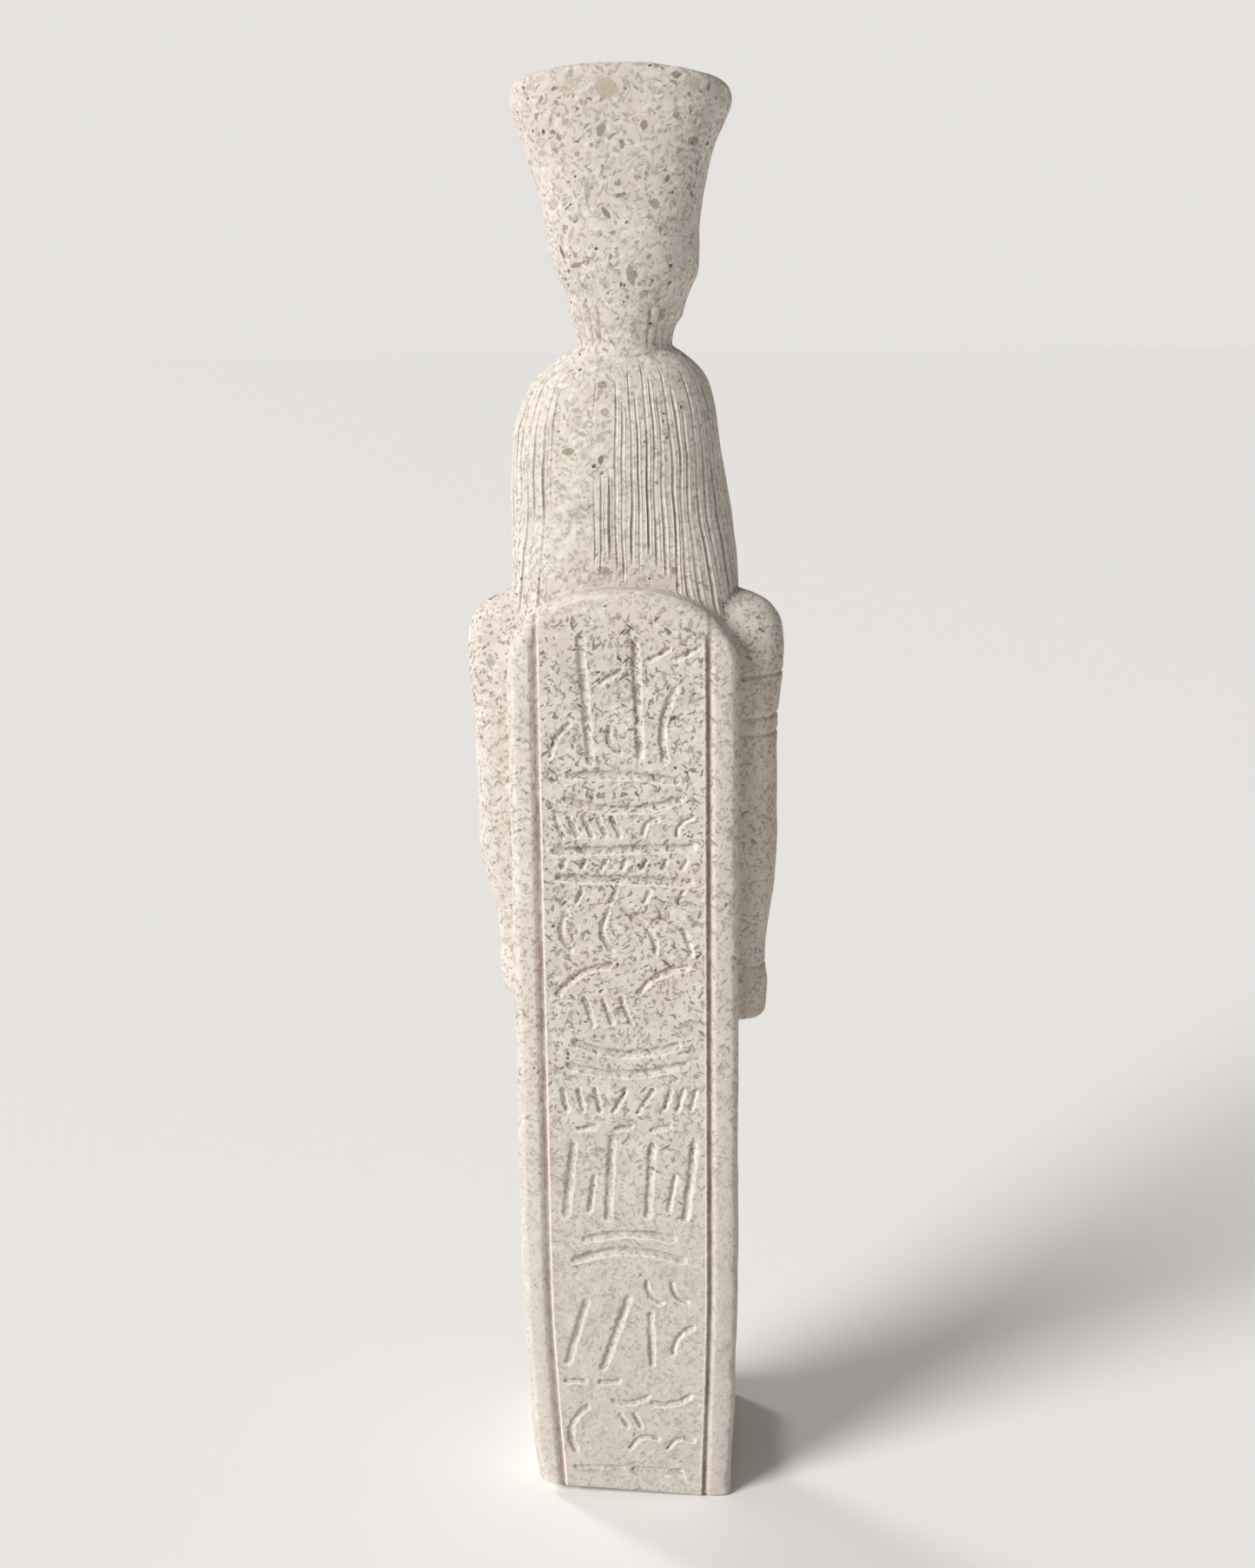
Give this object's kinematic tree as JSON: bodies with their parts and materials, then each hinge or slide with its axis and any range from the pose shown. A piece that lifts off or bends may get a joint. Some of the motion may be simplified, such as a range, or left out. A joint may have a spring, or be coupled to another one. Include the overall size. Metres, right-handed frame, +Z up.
{
  "type": "goddess statue",
  "caption": "Standing goddess statue in pale cast stone with a tall flared crown, strand-cut wig, sheath dress, low plinth and a round-topped back pillar with incised strokes.",
  "frame": {"origin": "on the flat underside, in the middle of the statue's bounding box", "axes": "+Z up the standing figure, which faces -Y; the back pillar's flat back faces +Y; +X is the figure's left"},
  "size_m": [0.0646, 0.046, 0.2996],
  "materials": {
    "cast_stone": "matt cast stone, pale cream with fine grey-brown flecks, lightly worn"
  },
  "bodies": {
    "root": {"goddess_statue": "cast_stone"}
  },
  "joints": []
}
